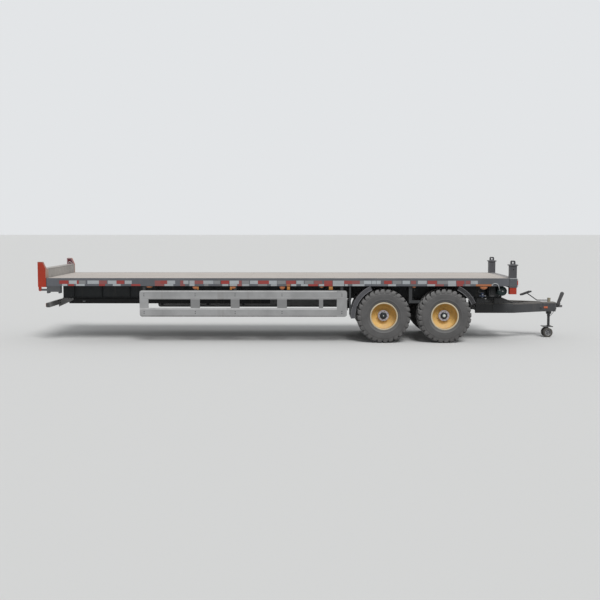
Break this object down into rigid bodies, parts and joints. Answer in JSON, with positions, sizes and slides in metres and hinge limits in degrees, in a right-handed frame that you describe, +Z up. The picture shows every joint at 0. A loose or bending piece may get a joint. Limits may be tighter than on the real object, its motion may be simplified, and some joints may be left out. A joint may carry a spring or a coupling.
{
  "type": "flatbed trailer",
  "caption": "Flatbed trailer with a timber load floor, tandem wide-tyre axles, A-frame drawbar with jockey wheel jack, side guards, folding tailboard and sliding corner posts.",
  "frame": {"origin": "on the ground, half-way between the tailboard's rear face and the handbrake lever's tip, on the centreline", "axes": "+X forwards to the drawbar, +Y to the left, +Z up"},
  "size_m": [11.68, 2.526, 1.79],
  "materials": {
    "chassis_paint": "satin",
    "rail_paint": "satin",
    "deck_timber": "weathered",
    "drawbar_paint": "satin",
    "post_paint": "satin",
    "red_paint": "satin",
    "board_stripes": "retroreflective",
    "tail_aluminium": "brushed",
    "guard_aluminium": "satin",
    "galvanised": "dull",
    "spring_steel": "painted",
    "tyre_rubber": "dusty",
    "rim_paint": "satin",
    "hub_cast": "painted",
    "eye_cast": "dull",
    "guard_plastic": "matt",
    "box_plastic": "matt",
    "tank_paint": "satin",
    "amber_lens": "gloss",
    "red_lens": "gloss",
    "jack_zinc": "zinc plated",
    "jockey_rubber": "matt"
  },
  "bodies": {
    "chassis": {"main_beams": "chassis_paint", "cross_members": "chassis_paint", "side_rails": "rail_paint", "deck_floor": "deck_timber", "chassis_ties": "chassis_paint", "line_duct": "guard_aluminium", "front_bolster": "rail_paint", "corner_sleeves": "rail_paint", "front_board": "board_stripes", "hinge_brackets": "galvanised", "underrun_bar": "galvanised", "underrun_arms": "galvanised", "tail_lamps": "red_lens", "drawbar_legs": "drawbar_paint", "drawbar_ties": "drawbar_paint", "drawbar_hangers": "drawbar_paint", "drawbar_head": "drawbar_paint", "towing_eye": "eye_cast", "handbrake_lever": "galvanised", "jack_housing": "jack_zinc", "jack_crank": "galvanised", "axle_beams": "chassis_paint", "leaf_springs": "spring_steel", "spring_hangers": "chassis_paint", "brake_chambers": "chassis_paint", "mudguards": "guard_plastic", "mudguard_stays": "galvanised", "side_guard_rails": "guard_aluminium", "side_guard_posts": "guard_aluminium", "side_guard_arms": "galvanised", "air_tank": "tank_paint", "tool_box": "box_plastic", "amber_lamps": "amber_lens"},
    "tailboard": {"tailboard_panel": "tail_aluminium", "tailboard_ends": "red_paint"},
    "post_left": {"corner_post_left": "post_paint", "post_foot_left": "red_paint"},
    "post_right": {"corner_post_right": "post_paint", "post_foot_right": "red_paint"},
    "jack_leg": {"jack_inner_tube": "jack_zinc"},
    "jack_caster": {"jack_fork": "galvanised"},
    "jockey_wheels": {"jack_wheels": "jockey_rubber"},
    "wheel_rear_left": {"tyre_rear_left": "tyre_rubber", "rim_rear_left": "rim_paint", "hub_rear_left": "hub_cast"},
    "wheel_front_left": {"tyre_front_left": "tyre_rubber", "rim_front_left": "rim_paint", "hub_front_left": "hub_cast"},
    "wheel_rear_right": {"tyre_rear_right": "tyre_rubber", "rim_rear_right": "rim_paint", "hub_rear_right": "hub_cast"},
    "wheel_front_right": {"tyre_front_right": "tyre_rubber", "rim_front_right": "rim_paint", "hub_front_right": "hub_cast"}
  },
  "joints": [
    {"name": "wheel_rear_left_spin", "type": "hinge", "parent": "chassis", "child": "wheel_rear_left", "pos_m": [1.652, 0.951, 0.585], "axis": [0, 1, 0], "continuous": true},
    {"name": "wheel_front_left_spin", "type": "hinge", "parent": "chassis", "child": "wheel_front_left", "pos_m": [2.972, 0.951, 0.585], "axis": [0, 1, 0], "continuous": true},
    {"name": "wheel_rear_right_spin", "type": "hinge", "parent": "chassis", "child": "wheel_rear_right", "pos_m": [1.652, -0.951, 0.585], "axis": [0, 1, 0], "continuous": true},
    {"name": "wheel_front_right_spin", "type": "hinge", "parent": "chassis", "child": "wheel_front_right", "pos_m": [2.972, -0.951, 0.585], "axis": [0, 1, 0], "continuous": true},
    {"name": "tailboard_fold", "type": "hinge", "parent": "chassis", "child": "tailboard", "pos_m": [-5.798, 0, 1.155], "axis": [0, -1, 0], "range_deg": [0, 180]},
    {"name": "post_left_slide", "type": "slide", "parent": "chassis", "child": "post_left", "axis": [0, 0, -1], "range_m": [0, 0.23]},
    {"name": "post_right_slide", "type": "slide", "parent": "chassis", "child": "post_right", "axis": [0, 0, -1], "range_m": [0, 0.23]},
    {"name": "jack_lift", "type": "slide", "parent": "chassis", "child": "jack_leg", "axis": [0, 0, 1], "range_m": [0, 0.2]},
    {"name": "jack_swivel", "type": "hinge", "parent": "jack_leg", "child": "jack_caster", "pos_m": [5.52, 0, 0.2], "axis": [0, 0, 1], "continuous": true},
    {"name": "jockey_spin", "type": "hinge", "parent": "jack_caster", "child": "jockey_wheels", "pos_m": [5.486, 0, 0.108], "axis": [0, 1, 0], "continuous": true}
  ]
}
